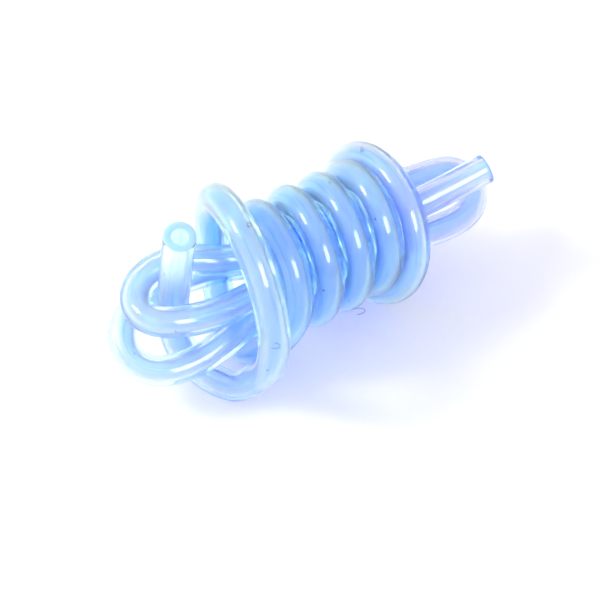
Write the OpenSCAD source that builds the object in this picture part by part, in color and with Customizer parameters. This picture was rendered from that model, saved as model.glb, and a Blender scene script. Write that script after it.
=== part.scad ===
// A length of soft clear tubing tied up as a hank: both ends of a small
// four-strand bundle loop over, and the same tube is wrapped round the
// bundle in close turns between a larger turn at the front and one at the
// back. It is one piece of hollow tube from the standing front end to the
// cut back end. X runs along the hank from front to back, and Z is up.

/* [Tube] */
// Outside diameter of the tube; the whole hank grows with it
tube_od = 6; // [5:0.5:8]
// Diameter of the bore
tube_bore = 3; // [2:0.25:4]

/* [Wraps] */
// How many close turns go round the bundle
wraps = 4; // [2:1:6]
// Spacing of the close turns, in tube diameters
wrap_spacing = 1.15; // [1.15:0.05:1.5]

/* [Loops and ends] */
// Extra reach of the two front loops
front_reach = 0; // [0:1:20]
// Extra reach of the back loop
back_reach = 0; // [0:1:20]
// Extra height of the front end, which stands up through its loops
front_end_rise = 0; // [-4:1:20]
// Extra length of the back end
back_end_reach = 0; // [-4:1:20]

/* [Smoothness] */
// Largest bend between two rings of the tube wall, in degrees
ring_step = 18; // [16:1:24]

/* [Hidden] */

tube_colour = [0.62, 0.76, 0.95, 0.75];

// Every place below is in millimetres for this diameter and is scaled to tube_od.
drawn_od = 6;
grow = tube_od / drawn_od;
wall = (tube_od - tube_bore) / 2;

// The four strands of the bundle lie in a square round this axis.
axis_z = 19.3;

// Close turns: radius of their centreline, and the smaller radius of the last one
wrap_r = 11.4;
wrap_r_last = 11;
// Turns over which the radius gets smaller
tighten_over = 1.2;
first_wrap_x = -13.6;
wrap_pitch = wrap_spacing * drawn_od;
// How far the end of the last turn leans forwards, and over which turns
last_wrap_lean = 1.8;
lean_from = 0.4;
lean_over = 0.8;
drawn_wraps = 4;
drawn_pitch = 6.9;
// How far everything behind the wraps moves when their number or spacing changes
back_shift = wrap_pitch * (wraps - 0.5) - drawn_pitch * (drawn_wraps - 0.5);
bundle_front_x = -14;
bundle_back_x = 12;

// Front turn: its middle, its reach to the near and the far side and up and down
front_middle = [-19.7, -3.2, 21.7];
front_near = 14.7;
front_far = 17.2;
front_high = 18.3;
// How far its top is set over to the far side, and its far side backwards
front_top_set = 1.1;
front_far_set = 2.5;
// Its lean: how far it moves backwards for each millimetre to the far side
front_lean = 0.11;
// How far its underside is pressed down to the floor, by angle
front_sag = [[270, 0], [300, 0.6], [330, 3.6], [360, 2.4], [390, 0]];

// Back turn: its middle, its reach to the sides and up and down
back_middle = [15.5, 2.5, 15.8];
back_side = 14.5;
back_high = 13.6;
// Its lean to the side and upwards, from this height on, and its pitch
back_side_lean = -0.03;
back_up_lean = 0.13;
back_lean_z = 17;
back_pitch = 4.8;
// How far its underside is pressed down to the floor, by angle
back_sag = [[-90, 0], [-60, -1.2], [-30, 1.2], [0, 0]];

// The front turn passes into the close turns from this angle, over so many degrees,
// and the close turns into the back turn from this angle before its underside.
front_join = 325;
front_join_over = 120;
back_join = -143;
back_join_over = 140;

// Coil: a control point every 30 degrees, from under the front turn to the
// far side of the back turn. 0 degrees is the underside and 90 the near side.
coil_step = 30;
coil_start = 30;
coil_end = 360 * (wraps + 2) - 90;

// Straight cut pieces at both ends, with true round walls
cut_end = 8 * grow;
// The swept wall ends as a thinner collar inside the wall of the cut piece.
collar_in = 0.6;
collar_gap = 0.12;
// How much thinner the collar is on its outside and in its bore, in walls
collar_outer_shy = 0.15;
collar_bore_shy = 0.2;
outer_sides = 16;
bore_sides = 8;
cut_sides = 48;
// How far a bore is cut past both ends of its piece
past = 1;

function ease(v) = let (u = min(1, max(0, v))) u * u * (3 - 2 * u);
function unit(v) = v / norm(v);

// Moves a place backwards by its share of back_shift.
function spread(p) =
  [p.x + back_shift * min(1, max(0, (p.x - bundle_front_x) / (bundle_back_x - bundle_front_x))),
   p.y, p.z];

// Front turn: large, leaning, wider on its far side, and flat along the floor
// where it passes under the bundle
function front_turn(t) =
  let (s = sin(t), c = cos(t),
       y = front_middle.y - (s > 0 ? front_near : front_far) * s
           + front_top_set * pow(max(0, -c), 2))
  [front_middle.x + front_lean * (y - front_middle.y) + front_far_set * pow(max(0, -s), 2),
   y,
   front_middle.z - front_high * c - lookup(t, front_sag)];

// Close turns: a plain helix that tightens a little towards the back
function close_turn(t) =
  let (turn = t / 360,
       r = wrap_r - (wrap_r - wrap_r_last) * ease((turn - wraps + 1) / tighten_over))
  [first_wrap_x + wrap_pitch * (turn - 1)
     - last_wrap_lean * ease((turn - wraps - lean_from) / lean_over),
   -r * sin(t),
   axis_z - r * cos(t)];

// Back turn: larger again, leaning the other way, and flat along the floor too;
// t is 0 at its underside
function back_turn(t) =
  let (y = back_middle.y - back_side * sin(t),
       z = back_middle.z - back_high * cos(t) - lookup(t, back_sag))
  [back_middle.x + back_shift + back_side_lean * y + back_up_lean * (z - back_lean_z)
     + back_pitch * (t / 360 - 0.5),
   y, z];

function coil_point(t) =
  let (front = 1 - ease((t - front_join) / front_join_over),
       back_t = t - 360 * (wraps + 1),
       back = ease((back_t - back_join) / back_join_over))
  front_turn(t) * front + close_turn(t) * (1 - front - back) + back_turn(back_t) * back;

coil = [for (t = [coil_start : coil_step : coil_end]) coil_point(t)];

// The standing front end, down through both front loops to the floor
front_end = [
  [-29.9, 1.4, 29.7 + front_end_rise], [-30.3, 1.7, 26], [-30.7, 2.4, 20], [-31, 2.6, 15],
  [-31.1, 1.1, 9.5], [-28.5, -2.4, 3.6], [-24.5, -9.4, 1.8]];

// From the back turn through the bundle, low on the far side
low_far = [
  [20.2, 15.3, 8.6], [23.7, 10.9, 5.4], [23.9, 4.3, 7], [19.6, 1.7, 11.8], [12.7, 3.1, 16.3],
  [5, 3.1, 16.2], [-3, 2.9, 16], [-11, 4.7, 17.3], [-18, 6.8, 18.8], [-26, 8, 18.7]];
low_front_loop = [
  [-33 - front_reach, 9.2, 17.2], [-39.3 - front_reach, 8, 14.2],
  [-41.7 - front_reach, 1.3, 11.8], [-38 - front_reach, -4.1, 10.7]];
// Back through the bundle, low on the near side
low_near = [
  [-31, -5.7, 11.1], [-24, -5.2, 12.4], [-17, -3.8, 14.3], [-11, -3.05, 15.6],
  [0, -3.2, 16.4], [10, -3, 16.2], [15, -3.5, 15.1], [22, -4.9, 14.8], [28, -5.6, 14.6]];
back_loop = [
  [33.9 + back_reach, -5, 14.7], [38 + back_reach, -1, 16.5], [35.6 + back_reach, 4.2, 19.1]];
// Forwards again, high on the far side
high_far = [
  [28, 4.6, 19.4], [18, 4.2, 21.8], [8, 2.8, 22.5], [0, 3, 22.3], [-10, 2.4, 23],
  [-18, 2.2, 23.4], [-25.5, 7.1, 25.2]];
high_front_loop = [
  [-32.6 - front_reach, 9.1, 23.6], [-37.6 - front_reach, 5.6, 22.2],
  [-37.9 - front_reach, -0.9, 22], [-32 - front_reach, -4.7, 22]];
// The last strand, high on the near side, to the back end
high_near = [
  [-24, -5, 20.2], [-14.5, -5, 20.6], [-7.5, -3.2, 22.7], [4, -3.3, 22.5],
  [12.2, -3, 22.4], [16, -1.9, 20.6], [21.5, -3.6, 22.3], [28 + back_end_reach, -4.6, 23.9]];

strands = concat(low_far, low_front_loop, low_near, back_loop, high_far, high_front_loop,
                 high_near);
route = grow * concat(front_end, coil, [for (p = strands) spread(p)]);

// Cubic B-spline through the route: it starts and ends on the first and last
// points, and its bend changes smoothly all along.
last = len(route) - 1;
guide = concat([2 * route[0] - route[1]], route, [2 * route[last] - route[last - 1]]);
function spline_at(i, u) =
  (pow(1 - u, 3) * guide[i] + (3 * pow(u, 3) - 6 * u * u + 4) * guide[i + 1]
   + (-3 * pow(u, 3) + 3 * u * u + 3 * u + 1) * guide[i + 2] + pow(u, 3) * guide[i + 3]) / 6;
function spline_way(i, u) =
  unit(-pow(1 - u, 2) * guide[i] + (3 * u * u - 4 * u) * guide[i + 1]
       + (-3 * u * u + 2 * u + 1) * guide[i + 2] + u * u * guide[i + 3]);
function span_rings(i) =
  let (bend = acos(min(1, spline_way(i, 0) * spline_way(i, 1))))
  max(1, ceil(bend / ring_step));

// Places and directions of the rings
stations = [for (i = [0 : last - 1], k = [0 : span_rings(i) - 1])
              let (u = k / span_rings(i)) [spline_at(i, u), spline_way(i, u)]];
front_way = unit(route[0] - route[1]);
back_way = unit(route[last] - route[last - 1]);

// Inner places of the two cut pieces, and their mouths
front_at = route[0];
back_at = route[last];
front_mouth = front_at + cut_end * front_way;
back_mouth = back_at + cut_end * back_way;

// A ring is [centre, direction, outer radius, bore radius]. The radii put the
// flats' mean on the true circle.
outer_r = tube_od / 2 * (1 + 0.5 * (1 / cos(180 / outer_sides) - 1));
bore_r = tube_bore / 2 * (1 + 0.5 * (1 / cos(180 / bore_sides) - 1));
collar_outer_r = tube_od / 2 - collar_outer_shy * wall;
collar_bore_r = (tube_bore / 2 + collar_bore_shy * wall) / cos(180 / bore_sides);
function collar(at, way, side) =
  let (thin = [way, collar_outer_r, collar_bore_r],
       far = concat([at + collar_in * way * side], thin),
       near = concat([at - collar_gap * way * side], thin))
  side > 0 ? [near, far] : [far, near];
rings = concat(
  collar(front_at, -front_way, -1),
  [for (k = [0 : len(stations) - 1])
     [stations[k][0] + (k == 0 ? -2 * collar_gap * front_way : [0, 0, 0]),
      stations[k][1], outer_r, bore_r]],
  [[back_at - 2 * collar_gap * back_way, back_way, outer_r, bore_r]],
  collar(back_at, back_way, 1));

// Each ring's reference direction is the one before it, turned as little as
// the bend allows, so that the wall doesn't twist.
function carry(n, way) = unit(n - (n * way) * way);
count = len(rings);
refs = [for (k = 0, n = carry([1, 0, 0], rings[0][1]); k < count;
             k = k + 1, n = k < count ? carry(n, rings[k][1]) : n) n];

function circle_points(k, r, sides) =
  let (side = cross(rings[k][1], refs[k]))
  [for (j = [0 : sides - 1])
     rings[k][0] + r * (cos(360 * j / sides) * refs[k] + sin(360 * j / sides) * side)];
outer_points = [for (k = [0 : count - 1]) each circle_points(k, rings[k][2], outer_sides)];
bore_points = [for (k = [0 : count - 1]) each circle_points(k, rings[k][3], bore_sides)];

// Triangles of a skin of rings, seen from outside or from inside
function skin(sides, base, inward) =
  [for (k = [0 : count - 2], j = [0 : sides - 1])
     let (a = base + k * sides + j, b = base + k * sides + (j + 1) % sides,
          c = b + sides, d = a + sides)
     each (inward ? [[a, b, c], [a, c, d]] : [[a, c, b], [a, d, c]])];

// Flat ring at an end: two outer sides meet each side of the bore.
function end_ring(k, flip) =
  let (o = k * outer_sides, i = count * outer_sides + k * bore_sides,
       per = outer_sides / bore_sides)
  [for (j = [0 : bore_sides - 1], m = [0 : per])
     let (a = i + j, b = i + (j + 1) % bore_sides,
          p = o + (per * j + m) % outer_sides, q = o + (per * j + m + 1) % outer_sides,
          face = m < per ? [a, p, q] : [a, o + (per * j + per) % outer_sides, b])
     flip ? [face[2], face[1], face[0]] : face];

// Stands the origin under the middle of the hank, on the floor.
function low(v, axis) = min([for (p = v) p[axis]]);
function high(v, axis) = max([for (p = v) p[axis]]);
function mouth_points(at, way) =
  [for (s = [-1, 1], axis = [0 : 2])
     at + s * tube_od / 2 * sqrt(max(0, 1 - way[axis] * way[axis]))
       * [for (k = [0 : 2]) k == axis ? 1 : 0]];
skin_points = concat(outer_points, mouth_points(front_mouth, front_way),
                     mouth_points(back_mouth, back_way));
origin = [(low(skin_points, 0) + high(skin_points, 0)) / 2,
          (low(skin_points, 1) + high(skin_points, 1)) / 2, low(skin_points, 2)];

module swept_wall() {
  polyhedron(
    points = concat(outer_points, bore_points),
    faces = concat(skin(outer_sides, 0, false),
                   skin(bore_sides, count * outer_sides, true),
                   end_ring(0, false), end_ring(count - 1, true)),
    convexity = 12);
}

// Straight piece of tube from a place along a direction, cut square
module cut_piece(at, way) {
  translate(at)
    rotate([0, acos(way.z), atan2(way.y, way.x)])
      difference() {
        cylinder(d = tube_od, h = cut_end, $fn = cut_sides);
        translate([0, 0, -past])
          cylinder(d = tube_bore, h = cut_end + 2 * past, $fn = cut_sides);
      }
}

module tubing() {
  color(tube_colour)
    translate(-origin) {
      swept_wall();
      cut_piece(front_at, front_way);
      cut_piece(back_at, back_way);
    }
}

tubing();
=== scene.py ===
"""A hank of soft clear blue tube, tied round itself, on a pale floor.

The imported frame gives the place. The tube is one hollow skin swept along its own
winding: a standing front end, two front loops, close turns round a bundle of four
strands between two larger turns, a back loop and a cut back end.
"""
import random
from math import ceil, cos, pi, radians, sin

import bpy
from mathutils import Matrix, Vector


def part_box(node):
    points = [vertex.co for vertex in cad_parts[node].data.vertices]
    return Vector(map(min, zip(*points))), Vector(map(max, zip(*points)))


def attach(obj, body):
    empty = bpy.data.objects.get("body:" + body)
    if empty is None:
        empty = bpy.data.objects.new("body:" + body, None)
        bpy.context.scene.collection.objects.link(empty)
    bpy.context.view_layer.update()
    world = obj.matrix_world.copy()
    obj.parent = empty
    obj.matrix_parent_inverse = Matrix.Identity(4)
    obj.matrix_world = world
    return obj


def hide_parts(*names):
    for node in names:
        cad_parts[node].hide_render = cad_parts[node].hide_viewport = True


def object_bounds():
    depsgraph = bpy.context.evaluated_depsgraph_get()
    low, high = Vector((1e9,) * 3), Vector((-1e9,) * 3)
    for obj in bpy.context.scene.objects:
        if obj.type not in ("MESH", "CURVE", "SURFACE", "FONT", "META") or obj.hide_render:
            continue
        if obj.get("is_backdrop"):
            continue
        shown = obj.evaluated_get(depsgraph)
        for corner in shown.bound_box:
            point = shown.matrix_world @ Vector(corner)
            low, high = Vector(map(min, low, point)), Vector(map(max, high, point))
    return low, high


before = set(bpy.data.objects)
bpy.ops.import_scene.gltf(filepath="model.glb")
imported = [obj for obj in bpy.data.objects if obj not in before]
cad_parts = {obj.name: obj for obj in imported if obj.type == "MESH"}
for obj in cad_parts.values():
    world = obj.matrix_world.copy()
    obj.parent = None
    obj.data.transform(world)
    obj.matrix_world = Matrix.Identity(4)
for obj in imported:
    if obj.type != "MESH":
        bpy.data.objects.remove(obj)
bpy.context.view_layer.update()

bl_info = {
    "name": "Tied tube hank",
    "version": (1, 0, 0),
    "blender": (4, 5, 0),
    "location": "View3D > Sidebar > Hank",
    "description": "Models a hank of soft clear tube with its finish, floor, lamps and camera",
    "category": "Add Mesh",
}

MM = 0.001
NODE = "tubing"
BODY = "root"
SKIN_PLACE = "skin_place"
PAINTED_SHADE = "painted_shade_share"
PAINTED_LILAC = "tail"
MOUTH_GLOW = "mouth"
SKIN, BORE, CUT = 0, 1, 2  # the tube's surfaces, by material slot
SILICONE_IOR = 1.41

# ---------------------------------------------------------------- the winding
# Places in millimetres, for a tube of 6 mm.
TUBE = 6
CUT_END = 8.0  # straight length at each end
SPLINE_STEPS = 24  # steps from one guide point to the next

# The coil, by its turn in degrees from the foot of the front turn
WRAPS = 4  # close turns
COIL_STEP = 30
COIL_END = 360 * (WRAPS + 2) - 90

# The large turn at the front: its middle, its reach to the near side, the far side and
# upwards, and how it leans
FRONT_X, FRONT_Y, FRONT_Z = -19.7, -3.2, 21.7
FRONT_NEAR, FRONT_FAR, FRONT_UP = 14.7, 17.2, 18.3
FRONT_LEAN, FRONT_FAR_PUSH, FRONT_TOP_PUSH = 0.11, 2.5, 1.1
FRONT_SAG = {300: 0.6, 330: 3.6, 360: 2.4}
FRONT_FADE_FROM, FRONT_FADE = 325, 120  # where it goes over into the close turns

# The close turns; the last is tighter and drawn in towards the others
AXIS_Z = 19.3
FIRST_WRAP_X, WRAP_PITCH = -13.6, 6.9
WRAP_R, WRAP_R_LAST = 11.4, 11.0
TIGHTEN_TURNS = 1.2
DRAW_IN, DRAW_IN_FROM, DRAW_IN_TURNS = 1.8, 0.4, 0.8

# The larger turn at the back: its middle, its reach, and how it leans and advances. Its
# degrees are from its own foot
BACK_X, BACK_Y, BACK_Z = 15.5, 2.5, 15.8
BACK_ACROSS, BACK_UP = 14.5, 13.6
BACK_SIDE_LEAN, BACK_LEAN, BACK_LEAN_Z, BACK_PITCH = 0.03, 0.13, 17, 4.8
BACK_SAG = {-60: -1.2, -30: 1.2}
BACK_GROW_FROM, BACK_GROW = -143, 140  # where the close turns go over into it

# The standing front end, down through both front loops to the floor
FRONT_END = [
    (-29.9, 1.4, 29.7), (-30.3, 1.7, 26), (-30.7, 2.4, 20), (-31, 2.6, 15),
    (-31.1, 1.1, 9.5), (-28.5, -2.4, 3.6), (-24.5, -9.4, 1.8),
]
# From the back turn through the bundle, low on the far side
LOW_FAR = [
    (20.2, 15.3, 8.6), (23.7, 10.9, 5.4), (23.9, 4.3, 7), (19.6, 1.7, 11.8),
    (12.7, 3.1, 16.3), (5, 3.1, 16.2), (-3, 2.9, 16), (-11, 4.7, 17.3),
    (-18, 6.8, 18.8), (-26, 8, 18.7),
]
LOW_FRONT_LOOP = [(-33, 9.2, 17.2), (-39.3, 8, 14.2), (-41.7, 1.3, 11.8), (-38, -4.1, 10.7)]
# Back through the bundle, low on the near side
LOW_NEAR = [
    (-31, -5.7, 11.1), (-24, -5.2, 12.4), (-17, -3.8, 14.3), (-11, -3.05, 15.6),
    (0, -3.2, 16.4), (10, -3, 16.2), (15, -3.5, 15.1), (22, -4.9, 14.8), (28, -5.6, 14.6),
]
BACK_LOOP = [(33.9, -5, 14.7), (38, -1, 16.5), (35.6, 4.2, 19.1)]
# Forwards again, high on the far side
HIGH_FAR = [
    (28, 4.6, 19.4), (18, 4.2, 21.8), (8, 2.8, 22.5), (0, 3, 22.3), (-10, 2.4, 23),
    (-18, 2.2, 23.4), (-25.5, 7.1, 25.2),
]
HIGH_FRONT_LOOP = [(-32.6, 9.1, 23.6), (-37.6, 5.6, 22.2), (-37.9, -0.9, 22), (-32, -4.7, 22)]
# The last strand, high on the near side, to the back end
HIGH_NEAR = [
    (-24, -5, 20.2), (-14.5, -5, 20.6), (-7.5, -3.2, 22.7), (4, -3.3, 22.5),
    (12.2, -3, 22.4), (16, -1.9, 20.6), (21.5, -3.6, 22.3), (28, -4.6, 23.9),
]


def ease(value):
    """Smooth step from 0 to 1."""
    u = min(1.0, max(0.0, value))
    return u * u * (3 - 2 * u)


def front_turn(t):
    """Large leaning turn at the front, flat along the floor where it passes under."""
    s, c = sin(radians(t)), cos(radians(t))
    y = FRONT_Y - (FRONT_NEAR if s > 0 else FRONT_FAR) * s + FRONT_TOP_PUSH * max(0, -c) ** 2
    x = FRONT_X + FRONT_LEAN * (y - FRONT_Y) + FRONT_FAR_PUSH * max(0, -s) ** 2
    return Vector((x, y, FRONT_Z - FRONT_UP * c - FRONT_SAG.get(t, 0)))


def close_turn(t):
    """Close turns round the bundle: a helix that tightens a little towards the back."""
    turn = t / 360
    r = WRAP_R - (WRAP_R - WRAP_R_LAST) * ease((turn - WRAPS + 1) / TIGHTEN_TURNS)
    drawn_in = DRAW_IN * ease((turn - WRAPS - DRAW_IN_FROM) / DRAW_IN_TURNS)
    x = FIRST_WRAP_X + WRAP_PITCH * (turn - 1) - drawn_in
    return Vector((x, -r * sin(radians(t)), AXIS_Z - r * cos(radians(t))))


def back_turn(t):
    """Larger turn at the back, leaning the other way."""
    y = BACK_Y - BACK_ACROSS * sin(radians(t))
    z = BACK_Z - BACK_UP * cos(radians(t)) - BACK_SAG.get(t, 0)
    lean = BACK_LEAN * (z - BACK_LEAN_Z)
    return Vector((BACK_X - BACK_SIDE_LEAN * y + lean + BACK_PITCH * (t / 360 - 0.5), y, z))


def coil_point(t):
    """Point of the whole coil, where each kind of turn goes over into the next."""
    front = 1 - ease((t - FRONT_FADE_FROM) / FRONT_FADE)
    back_t = t - 360 * (WRAPS + 1)
    back = ease((back_t - BACK_GROW_FROM) / BACK_GROW)
    return front_turn(t) * front + close_turn(t) * (1 - front - back) + back_turn(back_t) * back


def winding():
    """Guide points of the whole tube, in metres, before it is set on the frame."""
    coil = [coil_point(t) for t in range(COIL_STEP, COIL_END + 1, COIL_STEP)]
    strands = (
        LOW_FAR + LOW_FRONT_LOOP + LOW_NEAR + BACK_LOOP + HIGH_FAR + HIGH_FRONT_LOOP + HIGH_NEAR
    )
    points = FRONT_END + coil + strands
    return [Vector(p) * MM for p in points]


def spline(points):
    """Cubic B-spline that starts and ends on its first and last guide points."""
    first, last = points[0], points[-1]
    guide = [2 * first - points[1]] + points + [2 * last - points[-2]]
    line = []
    for a, b, c, d in zip(guide, guide[1:], guide[2:], guide[3:]):
        for k in range(SPLINE_STEPS):
            u = k / SPLINE_STEPS
            weights = (
                (1 - u) ** 3, 3 * u ** 3 - 6 * u * u + 4,
                -3 * u ** 3 + 3 * u * u + 3 * u + 1, u ** 3,
            )
            line.append(sum((p * w for p, w in zip((a, b, c, d), weights)), Vector()) / 6)
    return line + [last.copy()]


def even_line(line, spacing):
    """The same line with its points evenly spaced."""
    lengths = [0.0]
    for a, b in zip(line, line[1:]):
        lengths.append(lengths[-1] + (b - a).length)
    count = ceil(lengths[-1] / spacing)
    out, k = [], 0
    for n in range(count + 1):
        along = lengths[-1] * n / count
        while k < len(lengths) - 2 and lengths[k + 1] < along:
            k += 1
        share = (along - lengths[k]) / (lengths[k + 1] - lengths[k])
        out.append(line[k].lerp(line[k + 1], share))
    return out


def centreline(spacing):
    """Evenly spaced centres of the tube, from the front mouth to the back mouth."""
    line = spline(winding())
    front = (line[0] - line[1]).normalized() * CUT_END * MM
    back = (line[-1] - line[-2]).normalized() * CUT_END * MM
    return even_line([line[0] + front] + line + [line[-1] + back], spacing)


# ---------------------------------------------------------------- settings
class HankTubeSizes(bpy.types.PropertyGroup):
    """Sizes of the tube"""

    outside: bpy.props.FloatProperty(
        name="Outside diameter", description="Outside diameter of the tube",
        default=5.97 * MM, min=4 * MM, max=8 * MM, unit="LENGTH")
    bore: bpy.props.FloatProperty(
        name="Bore", description="Diameter of the bore",
        default=3 * MM, min=1 * MM, max=4 * MM, unit="LENGTH")
    spacing: bpy.props.FloatProperty(
        name="Ring spacing", description="Distance between rings of the skin",
        default=0.9 * MM, min=0.4 * MM, max=3 * MM, unit="LENGTH")
    sides: bpy.props.IntProperty(
        name="Sides", description="Sides round the tube", default=32, min=12, max=64)
    flatten: bpy.props.FloatProperty(
        name="Flattening", description="How much a tight bend flattens the tube",
        default=0.04, min=0, max=0.2, subtype="FACTOR")
    slant: bpy.props.FloatProperty(
        name="Slanted cut", description="Slope of the front end's cut",
        default=0.27, min=0, max=0.6, subtype="FACTOR")
    # How far the painted glow in the bore reaches from its mouths
    mouth_depth: bpy.props.FloatProperty(
        name="Mouth depth", description="How far down the bore its mouths look bright",
        default=14 * MM, min=1 * MM, max=30 * MM, unit="LENGTH")
    fibre: bpy.props.FloatProperty(
        name="Fibre", description="Thickness of the lint's fibres",
        default=0.12 * MM, min=0.01 * MM, max=0.5 * MM, unit="LENGTH")
    lip: bpy.props.FloatProperty(
        name="Lip", description="Rounding of the cut edges",
        default=0.14 * MM, min=0.02 * MM, max=0.5 * MM, unit="LENGTH")


class HankFinish(bpy.types.PropertyGroup):
    """Colours and surface of the tube and its lint"""

    free: bpy.props.FloatVectorProperty(
        name="Free loops", description="Colour where the tube lies by itself",
        subtype="COLOR", size=3, default=(0.95, 1.0, 1.0), min=0, max=1)
    # Painted shade: the close turns take a bluer, darker colour than the free loops, for the
    # light lost through more walls
    close: bpy.props.FloatVectorProperty(
        name="Close turns", description="Colour where passes of the tube lie together",
        subtype="COLOR", size=3, default=(0.65, 0.935, 1.0), min=0, max=1)
    # Painted shade: a lilac tint over the back loop and back end, for the lilac shadow that lies
    # under them
    tail: bpy.props.FloatVectorProperty(
        name="Back end", description="Colour of the back loop and the back end",
        subtype="COLOR", size=3, default=(0.84, 0.80, 1.0), min=0, max=1)
    line: bpy.props.FloatVectorProperty(
        name="Die lines", description="Colour of the faint lines along the tube",
        subtype="COLOR", size=3, default=(0.62, 0.80, 1.0), min=0, max=1)
    speck: bpy.props.FloatVectorProperty(
        name="Specks", description="Colour of the specks of dust",
        subtype="COLOR", size=3, default=(0.03, 0.05, 0.12), min=0, max=1)
    lint: bpy.props.FloatVectorProperty(
        name="Lint", description="Colour of the fibres",
        subtype="COLOR", size=3, default=(0.08, 0.11, 0.30), min=0, max=1)
    lint_seed: bpy.props.IntProperty(
        name="Lint seed", description="Shape of the fibres", default=4, min=0, max=999)
    cut: bpy.props.FloatVectorProperty(
        name="Cut face", description="Colour of the cut faces",
        subtype="COLOR", size=3, default=(0.46, 0.72, 1.0), min=0, max=1)
    # Painted glow: an emission colour in the bore near its mouths, where no lamp is
    mouth: bpy.props.FloatVectorProperty(
        name="Bore mouth", description="Light that the wall gathers round the bore's mouths",
        subtype="COLOR", size=3, default=(0.38, 0.46, 0.49), min=0, max=1)
    glow_depth: bpy.props.FloatProperty(
        name="Glow depth", description="How far light spreads inside the wall",
        default=4 * MM, min=0, max=20 * MM, unit="LENGTH")
    smooth: bpy.props.FloatProperty(
        name="Least roughness", description="Roughness where the skin is smoothest",
        default=0.07, min=0, max=1, subtype="FACTOR")
    dull: bpy.props.FloatProperty(
        name="Most roughness", description="Roughness where the skin is dullest",
        default=0.14, min=0, max=1, subtype="FACTOR")
    deep: bpy.props.FloatVectorProperty(
        name="Body tint", description="Colour that a thick wall lets through",
        subtype="COLOR", size=3, default=(0.05, 0.89, 1.0), min=0, max=1)
    density: bpy.props.FloatProperty(
        name="Tint strength",
        description="How soon the wall takes the body tint, per metre",
        default=34, min=0, max=1000)
    shade: bpy.props.FloatVectorProperty(
        name="Shadow tint",
        description="Share of a lamp's light that each wall of the tube lets on",
        subtype="COLOR", size=3, default=(0.68, 0.62, 1.0), min=0, max=1)
    clear: bpy.props.FloatProperty(
        name="Clear share",
        description="Share of the light that goes through the skin unscattered",
        default=0.93, min=0, max=1, subtype="FACTOR")
    inside: bpy.props.FloatVectorProperty(
        name="Bore", description="Colour of the bore's wall",
        subtype="COLOR", size=3, default=(0.95, 1.0, 1.0), min=0, max=1)
    inside_clear: bpy.props.FloatProperty(
        name="Clear share of the bore",
        description="Share of the light that goes through the bore's wall unscattered",
        default=0.63, min=0, max=1, subtype="FACTOR")


class HankStage(bpy.types.PropertyGroup):
    """Floor, lamps and camera"""

    floor: bpy.props.FloatVectorProperty(
        name="Floor", description="Colour of the floor",
        subtype="COLOR", size=3, default=(0.92, 0.92, 0.89), min=0, max=1)
    floor_lift: bpy.props.FloatProperty(
        name="Floor lift", description="Light added to the floor where the camera sees it",
        default=0.19, min=0, max=1)
    behind_lift: bpy.props.FloatProperty(
        name="Floor lift behind",
        description="Light added to the floor where it is seen through or in the tube",
        default=0.3, min=0, max=1)
    world_level: bpy.props.FloatProperty(
        name="Sky level", description="Strength of the plain sky", default=0.78, min=0, max=2)
    seen_level: bpy.props.FloatProperty(
        name="Seen sky level",
        description="Strength of the sky where it is seen directly or through the tube",
        default=1.0, min=0, max=3)
    gloss_level: bpy.props.FloatProperty(
        name="Mirrored sky level", description="Strength of the sky in the skin's gloss",
        default=0.92, min=0, max=3)
    window_power: bpy.props.FloatProperty(
        name="Window", description="Power of the lamp at the left",
        default=1.7, min=0, max=20)
    softbox_power: bpy.props.FloatProperty(
        name="Softbox", description="Power of the lamp beside the camera",
        default=2.6, min=0, max=20)
    lens: bpy.props.FloatProperty(
        name="Lens", description="Focal length of the camera", default=94.2, min=20, max=300)


def sizes():
    return bpy.context.scene.hank_tube


# ---------------------------------------------------------------- helpers
def link_piece(obj):
    bpy.context.scene.collection.objects.link(obj)
    return obj


def new_material(name):
    material = bpy.data.materials.new(name)
    material.use_nodes = True
    nodes = material.node_tree.nodes
    nodes.clear()
    return material, nodes, material.node_tree.links


def add_node(nodes, kind, **values):
    """Adds a node, with attributes by name and inputs as input_NAME."""
    node = nodes.new(kind)
    for key, value in values.items():
        if key.startswith("input_"):
            node.inputs[key[6:].replace("_", " ")].default_value = value
        else:
            setattr(node, key, value)
    return node


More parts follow.
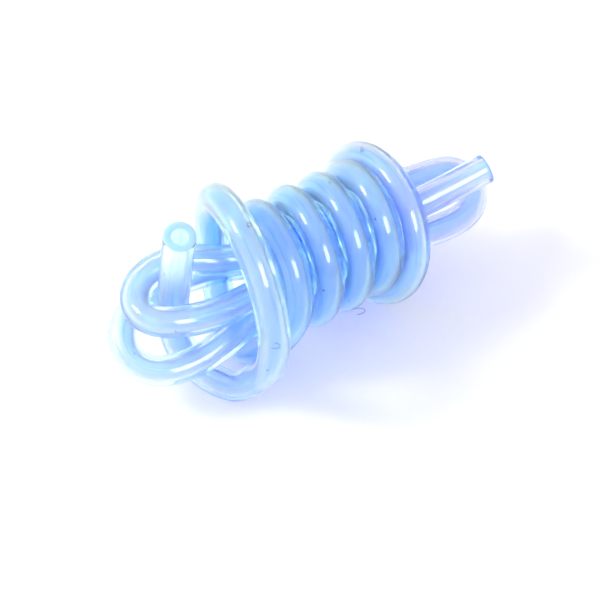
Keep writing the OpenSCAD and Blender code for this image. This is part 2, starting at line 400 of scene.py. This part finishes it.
# ---------------------------------------------------------------- silicone
def marks_group():
    """What extruding and handling leave on silicone: faint lines along the tube, dull
    patches and a few specks of dust."""
    group = bpy.data.node_groups.new("tube_marks", "ShaderNodeTree")
    sockets = (
        ("INPUT", "Colour", "Color"), ("INPUT", "Line Colour", "Color"),
        ("INPUT", "Lines", "Float"), ("INPUT", "Speck Colour", "Color"),
        ("INPUT", "Smooth", "Float"), ("INPUT", "Dull", "Float"),
        ("OUTPUT", "Colour", "Color"), ("OUTPUT", "Roughness", "Float"),
        ("OUTPUT", "Height", "Float"),
    )
    for way, name, kind in sockets:
        group.interface.new_socket(name, in_out=way, socket_type="NodeSocket" + kind)
    nodes, links = group.nodes, group.links
    given = add_node(nodes, "NodeGroupInput")
    result = add_node(nodes, "NodeGroupOutput")
    place = add_node(nodes, "ShaderNodeTexCoord")

    # Lines along the tube from the die
    skin = add_node(nodes, "ShaderNodeAttribute", attribute_name=SKIN_PLACE)
    lines = add_node(
        nodes, "ShaderNodeTexNoise", input_Scale=3.4, input_Detail=3.0, input_Roughness=0.6)
    links.new(skin.outputs["Vector"], lines.inputs["Vector"])
    streak = add_node(
        nodes, "ShaderNodeMapRange", interpolation_type="SMOOTHSTEP",
        input_From_Min=0.52, input_From_Max=0.66)
    links.new(lines.outputs["Fac"], streak.inputs["Value"])
    links.new(given.outputs["Lines"], streak.inputs["To Max"])
    lined = add_node(nodes, "ShaderNodeMix", data_type="RGBA")
    links.new(streak.outputs["Result"], lined.inputs["Factor"])
    links.new(given.outputs["Colour"], lined.inputs["A"])
    links.new(given.outputs["Line Colour"], lined.inputs["B"])

    # Specks of dust
    dust = add_node(nodes, "ShaderNodeTexVoronoi", input_Scale=160.0)
    links.new(place.outputs["Object"], dust.inputs["Vector"])
    speck = add_node(
        nodes, "ShaderNodeMapRange", input_From_Min=0.030, input_From_Max=0.045,
        input_To_Min=1.0, input_To_Max=0.0)
    links.new(dust.outputs["Distance"], speck.inputs["Value"])
    specked = add_node(nodes, "ShaderNodeMix", data_type="RGBA")
    links.new(speck.outputs["Result"], specked.inputs["Factor"])
    links.new(lined.outputs["Result"], specked.inputs["A"])
    links.new(given.outputs["Speck Colour"], specked.inputs["B"])

    # Duller and smoother patches
    cloud = add_node(
        nodes, "ShaderNodeTexNoise", input_Scale=260.0, input_Detail=3.0, input_Roughness=0.55)
    links.new(place.outputs["Object"], cloud.inputs["Vector"])
    rough = add_node(nodes, "ShaderNodeMapRange", input_From_Min=0.3, input_From_Max=0.7)
    links.new(cloud.outputs["Fac"], rough.inputs["Value"])
    links.new(given.outputs["Smooth"], rough.inputs["To Min"])
    links.new(given.outputs["Dull"], rough.inputs["To Max"])

    links.new(specked.outputs["Result"], result.inputs["Colour"])
    links.new(rough.outputs["Result"], result.inputs["Roughness"])
    links.new(lines.outputs["Fac"], result.inputs["Height"])


def add_marks(nodes, links, shader, finish, lines):
    """Sets the tube's marks before a shader, with this share of lines; returns their node."""
    marks = add_node(nodes, "ShaderNodeGroup", node_tree=bpy.data.node_groups["tube_marks"])
    marks.inputs["Line Colour"].default_value = (*finish.line, 1)
    marks.inputs["Lines"].default_value = lines
    marks.inputs["Speck Colour"].default_value = (*finish.speck, 1)
    marks.inputs["Smooth"].default_value = finish.smooth
    marks.inputs["Dull"].default_value = finish.dull
    bump = add_node(nodes, "ShaderNodeBump", input_Strength=0.25, input_Distance=0.00003)
    links.new(marks.outputs["Colour"], shader.inputs["Base Color"])
    links.new(marks.outputs["Roughness"], shader.inputs["Roughness"])
    links.new(marks.outputs["Height"], bump.inputs["Height"])
    links.new(bump.outputs["Normal"], shader.inputs["Normal"])
    return marks


def clear_wall(name, finish, clear):
    """A material for one face of the clear wall, which tints light by its thickness."""
    material, nodes, links = new_material(name)
    out = add_node(nodes, "ShaderNodeOutputMaterial")
    shader = add_node(
        nodes, "ShaderNodeBsdfPrincipled", input_IOR=SILICONE_IOR,
        input_Transmission_Weight=clear, input_Subsurface_Weight=1.0,
        input_Subsurface_Radius=(1.0, 1.0, 1.0), input_Subsurface_Scale=finish.glow_depth)

    # A lamp's light goes on through the walls, tinted
    path = add_node(nodes, "ShaderNodeLightPath")
    through = add_node(nodes, "ShaderNodeBsdfTransparent")
    through.inputs["Color"].default_value = (*finish.shade, 1)
    either = add_node(nodes, "ShaderNodeMixShader")
    links.new(path.outputs["Is Shadow Ray"], either.inputs["Fac"])
    links.new(shader.outputs["BSDF"], either.inputs[1])
    links.new(through.outputs["BSDF"], either.inputs[2])
    links.new(either.outputs["Shader"], out.inputs["Surface"])

    absorb = add_node(nodes, "ShaderNodeVolumeAbsorption")
    absorb.inputs["Color"].default_value = (*finish.deep, 1)
    absorb.inputs["Density"].default_value = finish.density
    links.new(absorb.outputs["Volume"], out.inputs["Volume"])
    return material, nodes, links, shader


def skin_material(finish):
    """Outside of the tube, with painted shade: paler where it lies free, bluer where passes lie
    close, and a painted lilac shade over the back end.
    """
    material, nodes, links, shader = clear_wall("silicone_clear_blue", finish, finish.clear)
    shader.inputs["Coat Weight"].default_value = 0.5
    shader.inputs["Coat Roughness"].default_value = 0.2
    shader.inputs["Coat IOR"].default_value = SILICONE_IOR
    # Painted shade: bluer where passes lie together, and a painted lilac shade over the back end
    painted_shade_share = add_node(nodes, "ShaderNodeAttribute", attribute_name=PAINTED_SHADE)
    body = add_node(nodes, "ShaderNodeMix", data_type="RGBA")
    body.inputs["A"].default_value = (*finish.free, 1)
    body.inputs["B"].default_value = (*finish.close, 1)
    links.new(painted_shade_share.outputs["Fac"], body.inputs["Factor"])
    tail = add_node(nodes, "ShaderNodeAttribute", attribute_name=PAINTED_LILAC)
    lilac_shaded = add_node(nodes, "ShaderNodeMix", data_type="RGBA")
    lilac_shaded.inputs["B"].default_value = (*finish.tail, 1)
    links.new(tail.outputs["Fac"], lilac_shaded.inputs["Factor"])
    links.new(body.outputs["Result"], lilac_shaded.inputs["A"])
    marks = add_marks(nodes, links, shader, finish, 0.35)
    links.new(lilac_shaded.outputs["Result"], marks.inputs["Colour"])
    return material


def bore_material(finish):
    """Inside of the tube: milkier, with a painted glow near its mouths."""
    material, nodes, links, shader = clear_wall("silicone_bore", finish, finish.inside_clear)
    marks = add_marks(nodes, links, shader, finish, 1.0)
    marks.inputs["Colour"].default_value = (*finish.inside, 1)
    # Painted glow: emission in the bore near its mouths
    painted_glow_share = add_node(nodes, "ShaderNodeAttribute", attribute_name=MOUTH_GLOW)
    painted_glow = add_node(nodes, "ShaderNodeMix", data_type="RGBA")
    painted_glow.inputs["A"].default_value = (0, 0, 0, 1)
    painted_glow.inputs["B"].default_value = (*finish.mouth, 1)
    links.new(painted_glow_share.outputs["Fac"], painted_glow.inputs["Factor"])
    links.new(painted_glow.outputs["Result"], shader.inputs["Emission Color"])
    shader.inputs["Emission Strength"].default_value = 1.0
    return material


def cut_material(finish):
    """Where the knife went through: the wall's own milky blue, without shine."""
    material, nodes, links = new_material("silicone_cut")
    out = add_node(nodes, "ShaderNodeOutputMaterial")
    shader = add_node(
        nodes, "ShaderNodeBsdfPrincipled", input_Base_Color=(*finish.cut, 1),
        input_Roughness=0.45, input_IOR=SILICONE_IOR, input_Subsurface_Weight=1.0,
        input_Subsurface_Radius=(1.0, 1.0, 1.0), input_Subsurface_Scale=finish.glow_depth / 2)
    links.new(shader.outputs["BSDF"], out.inputs["Surface"])
    return material


# ---------------------------------------------------------------- tube
CUT_LEAN = Vector((-0.574, -0.819, 0))  # the side where the front end is cut shorter
SLANT_REACH = 3 * MM  # the slant of that cut dies out over this length
LIP_SHARE = 0.3  # how far in the middle of a cut edge's rounding lies
CUT_SWELL = 0.02 * MM  # how far the middle of a cut face stands out
MOST_SQUASH = 0.06  # share of its radius that a bend flattens the tube by, at most
STRAIGHT = 1  # bends weaker than this, per metre, don't flatten the tube
BEND_REACH = 3  # centres to each side that a bend is averaged over
LINE_LENGTH = 60 * MM  # length of the tube over which its die lines change
BUNDLE_X = -1 * MM  # middle of the bundle
PACKED_HALF, PACKED_FADE = 10.5 * MM, 14 * MM  # from there to where the painted shade is bluest, and the fade
TAIL_FROM, TAIL_FADE = 12 * MM, 16 * MM  # where the painted lilac shade over the back end starts, and the fade
BACK_MOUTH = 0.25  # how bright the painted glow at the back mouth is beside the front one


def bends(line):
    """Bend vector at each centre: towards the inside of the bend, one over its radius."""
    out = [Vector()]
    for a, b, c in zip(line, line[1:], line[2:]):
        before, after = (b - a), (c - b)
        step = (before.length + after.length) / 2
        out.append((after.normalized() - before.normalized()) / step)
    return out + [Vector()]


def smooth_vectors(vectors):
    """Each vector averaged with its neighbours."""
    out = []
    for k in range(len(vectors)):
        low, high = max(0, k - BEND_REACH), min(len(vectors), k + BEND_REACH + 1)
        out.append(sum(vectors[low:high], Vector()) / (high - low))
    return out


def packed_shares(line):
    """How far each centre belongs to the bundle in the middle, from 0 to 1: the share of painted
    shade that the skin takes there.
    """
    return [1 - ease((abs(p.x - BUNDLE_X) - PACKED_HALF) / PACKED_FADE) for p in line]


def section(tube, last):
    """Stations of one whole turn round the wall, in the plane of the centreline: the ring
    they belong to, their radius, how far they lie past the mouth and their surface."""
    r, b, lip = tube.outside / 2, tube.bore / 2, tube.lip
    inset = LIP_SHARE * lip
    cut = [
        (b, -lip), (b + inset, -inset), (b + lip, 0.0), ((r + b) / 2, CUT_SWELL),
        (r - lip, 0.0), (r - inset, -inset), (r, -lip),
    ]
    front = [(0, radius, past, CUT) for radius, past in cut]
    skin = [(k, r, 0.0, SKIN) for k in range(1, last)]
    back = [(last, radius, past, CUT) for radius, past in reversed(cut)]
    bore = [(k, b, 0.0, BORE) for k in range(last - 1, 0, -1)]
    return front + skin + back + bore


def tube_mesh(name, line, tube):
    """The hollow skin, with what its materials read from it as attributes."""
    ways = [(b - a).normalized() for a, b in zip(line, line[1:])]
    ways = [ways[0]] + [(a + b).normalized() for a, b in zip(ways, ways[1:])] + [ways[-1]]
    bend = smooth_vectors(bends(line))
    side = Vector((1, 0, 0))
    axes = []
    for way in ways:
        side = (side - side.dot(way) * way).normalized()
        axes.append((side.copy(), way.cross(side)))

    last = len(line) - 1
    spacing = (line[1] - line[0]).length
    shares = packed_shares(line)
    stations = section(tube, last)
    verts, places, painted_shade_share, lilac_shares, mouths = [], [], [], [], []
    for k, r, past, _ in stations:
        u, v = axes[k]
        squash = min(MOST_SQUASH, tube.flatten * bend[k].length * TUBE * MM)
        inward = bend[k].normalized() if bend[k].length > STRAIGHT else Vector()
        outward_end = -1 if k < last / 2 else 1
        slant_fade = max(0.0, 1 - k * spacing / SLANT_REACH)
        # painted glow in the bore, fading from each mouth
        front_glow = 1 - ease(k * spacing / tube.mouth_depth)
        back_glow = BACK_MOUTH - BACK_MOUTH * ease((last - k) * spacing / tube.mouth_depth)
        for j in range(tube.sides):
            angle = 2 * pi * j / tube.sides
            out = u * cos(angle) + v * sin(angle)
            out -= inward * out.dot(inward) * squash
            along = outward_end * past + slant_fade * tube.slant * out.dot(CUT_LEAN) * r
            verts.append(line[k] + out * r + ways[k] * along)
            places.append((cos(angle), sin(angle), (k * spacing + past) / LINE_LENGTH))
            painted_shade_share.append(shares[k])
            # share of the painted lilac shade, rising towards the back end
            lilac_shares.append(ease((line[k].x - TAIL_FROM) / TAIL_FADE))
            mouths.append(max(front_glow, back_glow))
    faces, surface = [], []
    for i, station in enumerate(stations):
        there_station = (i + 1) % len(stations)
        here, there = i * tube.sides, there_station * tube.sides
        for j in range(tube.sides):
            n = (j + 1) % tube.sides
            faces.append((here + j, here + n, there + n, there + j))
            surface.append(min(station[3], stations[there_station][3]))
    mesh = bpy.data.meshes.new(name)
    mesh.from_pydata(verts, [], faces)
    mesh.attributes.new(SKIN_PLACE, "FLOAT_VECTOR", "POINT").data.foreach_set(
        "vector", [c for p in places for c in p])
    for share, values in ((PAINTED_SHADE, painted_shade_share), (PAINTED_LILAC, lilac_shares), (MOUTH_GLOW, mouths)):
        mesh.attributes.new(share, "FLOAT", "POINT").data.foreach_set("value", values)
    mesh.polygons.foreach_set("material_index", surface)
    mesh.shade_smooth()
    mesh.update()
    return mesh


def on_the_frame(line, tube):
    """Moves the line so that its tube stands where the frame's tubing stands."""
    low, high = (Vector(c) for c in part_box(NODE))
    r = tube.outside / 2
    mine_low = Vector(min(p[a] for p in line) - r for a in range(3))
    mine_high = Vector(max(p[a] for p in line) + r for a in range(3))
    shift = ((low + high) - (mine_low + mine_high)) / 2
    shift.z = low.z - mine_low.z
    return [p + shift for p in line]


class HANK_OT_tube(bpy.types.Operator):
    """Sweep the hollow tube along its winding and give it its finish"""

    bl_idname = "hank.tube"
    bl_label = "Tube"

    def execute(self, context):
        tube = sizes()
        line = on_the_frame(centreline(tube.spacing), tube)
        mesh = tube_mesh("tube_hank", line, tube)
        finish = context.scene.hank_finish
        marks_group()
        mesh.materials.append(skin_material(finish))
        mesh.materials.append(bore_material(finish))
        mesh.materials.append(cut_material(finish))
        obj = link_piece(bpy.data.objects.new("tube_hank", mesh))
        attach(obj, BODY)
        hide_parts(NODE)
        return {"FINISHED"}


# ---------------------------------------------------------------- lint
# Fibres on the hank: how far along the tube they lie, which way from its middle they sit,
# their length and how much they curl
FIBRES = (
    (0.081, Vector((-0.5, -0.85, 0.1)), 3.2 * MM, 2.6),
    (0.104, Vector((0.1, -0.35, 0.95)), 3.0 * MM, 3.2),
    (0.571, Vector((-0.6, 0.2, 0.75)), 3.6 * MM, 4.4),
    (0.358, Vector((-0.45, -0.8, -0.4)), 6.0 * MM, 2.2),
)
FIBRE_STEPS = 14
FIBRE_SIDES = 5
FIBRE_RISE = 0.25  # millimetres that a fibre's free end stands off the skin
LEAST_TURN, MOST_TURN = 0.2, 1.0  # shares of its curl that each step of a fibre turns


def fibre_path(start, way, outward, length, curl, rng):
    """A thin curl that starts on the skin and wanders over it, just above it."""
    side = way.cross(outward).normalized()
    points, turn, spot = [], rng.uniform(0, 2 * pi), start.copy()
    for k in range(FIBRE_STEPS + 1):
        points.append(spot + outward * FIBRE_RISE * MM * (k / FIBRE_STEPS) ** 2)
        turn += rng.uniform(LEAST_TURN, MOST_TURN) * curl / FIBRE_STEPS * pi
        spot += (way * cos(turn) + side * sin(turn)) * length / FIBRE_STEPS
    return points


def thread_mesh(name, paths, radius):
    """Round threads along their paths, closed at both ends."""
    verts, faces = [], []
    for path in paths:
        base = len(verts)
        ways = [(b - a).normalized() for a, b in zip(path, path[1:])]
        ways.append(ways[-1])
        for p, way in zip(path, ways):
            u = way.orthogonal().normalized()
            v = way.cross(u)
            for j in range(FIBRE_SIDES):
                angle = 2 * pi * j / FIBRE_SIDES
                verts.append(p + (u * cos(angle) + v * sin(angle)) * radius)
        for k in range(len(path) - 1):
            for j in range(FIBRE_SIDES):
                n = (j + 1) % FIBRE_SIDES
                here, there = base + k * FIBRE_SIDES, base + (k + 1) * FIBRE_SIDES
                faces.append((here + j, here + n, there + n, there + j))
        faces.append(tuple(base + j for j in reversed(range(FIBRE_SIDES))))
        faces.append(tuple(base + (len(path) - 1) * FIBRE_SIDES + j for j in range(FIBRE_SIDES)))
    mesh = bpy.data.meshes.new(name)
    mesh.from_pydata(verts, [], faces)
    mesh.shade_smooth()
    mesh.update()
    return mesh


class HANK_OT_lint(bpy.types.Operator):
    """Lay a few thin fibres of lint on the skin"""

    bl_idname = "hank.lint"
    bl_label = "Lint"

    def execute(self, context):
        tube, finish = sizes(), context.scene.hank_finish
        line = on_the_frame(centreline(tube.spacing), tube)
        rng = random.Random(finish.lint_seed)
        paths = []
        for share, sits, length, curl in FIBRES:
            k = round(share * (len(line) - 1))
            way = (line[k + 1] - line[k - 1]).normalized()
            outward = (sits - sits.dot(way) * way).normalized()
            start = line[k] + outward * (tube.outside / 2 + tube.fibre / 2)
            paths.append(fibre_path(start, way, outward, length, curl, rng))
        obj = link_piece(bpy.data.objects.new("lint", thread_mesh("lint", paths, tube.fibre / 2)))
        material, nodes, links = new_material("lint_grey")
        out = add_node(nodes, "ShaderNodeOutputMaterial")
        shader = add_node(
            nodes, "ShaderNodeBsdfPrincipled", input_Base_Color=(*finish.lint, 1),
            input_Roughness=0.7)
        links.new(shader.outputs["BSDF"], out.inputs["Surface"])
        obj.data.materials.append(material)
        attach(obj, BODY)
        return {"FINISHED"}


# ---------------------------------------------------------------- stage
CAMERA_OFFSET = Vector((1.87, 0.41, -2.43)) * MM  # from the hank's middle to its centre
CAMERA_TURN, CAMERA_RISE = -35, 45  # degrees round that centre and above it
CAMERA_DISTANCE = 0.3
AIM_LEFT, AIM_DOWN = 3.25, 9.55  # millimetres that it looks past its centre
LAMP_DISTANCE = 0.6
FLOOR_SIZE = 3
BOUNCES = 48  # a ray crosses many walls of the tube before it leaves the hank


def look_at(obj, place, target):
    """Sets a camera or a lamp at a place and turns it to its target."""
    obj.location = place
    obj.rotation_euler = (target - place).to_track_quat("-Z", "Y").to_euler()


def hank_middle():
    low, high = (Vector(c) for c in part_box(NODE))
    return (low + high) / 2


class HANK_OT_camera(bpy.types.Operator):
    """Set the camera above the front left of the hank"""

    bl_idname = "hank.camera"
    bl_label = "Camera"

    def execute(self, context):
        data = bpy.data.cameras.new("camera")
        data.lens = context.scene.hank_stage.lens
        data.sensor_width = 36
        data.clip_start = 0.01
        camera = link_piece(bpy.data.objects.new("camera", data))
        turn, rise = radians(CAMERA_TURN), radians(CAMERA_RISE)
        back = Vector((sin(turn) * cos(rise), -cos(turn) * cos(rise), sin(rise)))
        right = Vector((cos(turn), sin(turn), 0))
        up = back.cross(right)
        middle = hank_middle() + CAMERA_OFFSET
        target = middle - right * AIM_LEFT * MM - up * AIM_DOWN * MM
        look_at(camera, middle + back * CAMERA_DISTANCE, target)
        context.scene.camera = camera
        return {"FINISHED"}


def floor_material(stage):
    """Plain pale floor that reads as white to the eye and keeps the hank's shadow."""
    material, nodes, links = new_material("floor_pale")
    out = add_node(nodes, "ShaderNodeOutputMaterial")
    paint = add_node(nodes, "ShaderNodeBsdfDiffuse")
    paint.inputs["Color"].default_value = (*stage.floor, 1)
    glow = add_node(nodes, "ShaderNodeEmission")
    glow.inputs["Color"].default_value = (1, 1, 1, 1)
    path = add_node(nodes, "ShaderNodeLightPath")
    mirrored = add_node(nodes, "ShaderNodeMath", operation="MAXIMUM")
    links.new(path.outputs["Is Glossy Ray"], mirrored.inputs[0])
    links.new(path.outputs["Is Transmission Ray"], mirrored.inputs[1])
    behind = add_node(nodes, "ShaderNodeMath", operation="MULTIPLY")
    behind.inputs[1].default_value = stage.behind_lift
    links.new(mirrored.outputs[0], behind.inputs[0])
    level = add_node(nodes, "ShaderNodeMath", operation="MULTIPLY_ADD")
    level.inputs[1].default_value = stage.floor_lift
    links.new(path.outputs["Is Camera Ray"], level.inputs[0])
    links.new(behind.outputs[0], level.inputs[2])
    links.new(level.outputs[0], glow.inputs["Strength"])
    both = add_node(nodes, "ShaderNodeAddShader")
    links.new(paint.outputs[0], both.inputs[0])
    links.new(glow.outputs[0], both.inputs[1])
    links.new(both.outputs[0], out.inputs["Surface"])
    return material


def area_lamp(name, target, turn, rise, size, power):
    """Soft white lamp off its target, at a turn from +X towards +Y and a rise in degrees."""
    data = bpy.data.lights.new(name, "AREA")
    data.shape = "RECTANGLE"
    data.size, data.size_y = size
    data.energy = power
    lamp = link_piece(bpy.data.objects.new(name, data))
    turn, rise = radians(turn), radians(rise)
    way = Vector((cos(turn) * cos(rise), sin(turn) * cos(rise), sin(rise)))
    look_at(lamp, target + way * LAMP_DISTANCE, target)
    return lamp


class HANK_OT_stage(bpy.types.Operator):
    """Lay the pale floor, the plain sky and the lamps"""

    bl_idname = "hank.stage"
    bl_label = "Floor and lamps"

    def execute(self, context):
        stage = context.scene.hank_stage
        low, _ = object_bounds()
        bpy.ops.object.select_all(action="DESELECT")
        bpy.ops.mesh.primitive_plane_add(size=FLOOR_SIZE, location=(0, 0, low[2]))
        floor = context.object
        floor.name = "floor"
        floor.data.materials.append(floor_material(stage))
        floor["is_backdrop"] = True

        world = bpy.data.worlds.new("sky")
        world.use_nodes = True
        nodes, links = world.node_tree.nodes, world.node_tree.links
        background = nodes["Background"]
        background.inputs["Color"].default_value = (1, 1, 1, 1)
        path = add_node(nodes, "ShaderNodeLightPath")
        gloss = add_node(
            nodes, "ShaderNodeMapRange", input_To_Min=stage.seen_level,
            input_To_Max=stage.gloss_level)
        links.new(path.outputs["Is Glossy Ray"], gloss.inputs["Value"])
        lit = add_node(nodes, "ShaderNodeMapRange", input_To_Max=stage.world_level)
        links.new(gloss.outputs["Result"], lit.inputs["To Min"])
        links.new(path.outputs["Is Diffuse Ray"], lit.inputs["Value"])
        links.new(lit.outputs["Result"], background.inputs["Strength"])
        context.scene.world = world
        context.scene.view_settings.view_transform = "Standard"
        context.scene.cycles.max_bounces = BOUNCES
        context.scene.cycles.transmission_bounces = BOUNCES

        middle = hank_middle()
        area_lamp("window", middle, 150, 42, (0.17, 0.14), stage.window_power)
        softbox = area_lamp("softbox", middle, -96, 38, (0.26, 0.26), stage.softbox_power)
        softbox.visible_diffuse = False
        return {"FINISHED"}


# ---------------------------------------------------------------- panel
class HANK_PT_steps(bpy.types.Panel):
    """Steps that make the hank"""

    bl_idname = "HANK_PT_steps"
    bl_label = "Tied tube hank"
    bl_space_type = "VIEW_3D"
    bl_region_type = "UI"
    bl_category = "Hank"

    def draw(self, context):
        layout, scene = self.layout, context.scene
        for group in (scene.hank_tube, scene.hank_finish, scene.hank_stage):
            for name in group.__annotations__:
                layout.prop(group, name)
        for step in STEPS:
            layout.operator(step.bl_idname)


GROUPS = {"hank_tube": HankTubeSizes, "hank_finish": HankFinish, "hank_stage": HankStage}
STEPS = (HANK_OT_camera, HANK_OT_tube, HANK_OT_lint, HANK_OT_stage)


def register():
    for group in GROUPS.values():
        bpy.utils.register_class(group)
    for name, group in GROUPS.items():
        setattr(bpy.types.Scene, name, bpy.props.PointerProperty(type=group))
    for step in STEPS:
        bpy.utils.register_class(step)
    bpy.utils.register_class(HANK_PT_steps)


def unregister():
    bpy.utils.unregister_class(HANK_PT_steps)
    for step in reversed(STEPS):
        bpy.utils.unregister_class(step)
    for name, group in reversed(GROUPS.items()):
        delattr(bpy.types.Scene, name)
        bpy.utils.unregister_class(group)


def main():
    register()
    bpy.ops.hank.camera()
    bpy.ops.hank.tube()
    bpy.ops.hank.lint()
    bpy.ops.hank.stage()


if __name__ == "__main__":
    main()
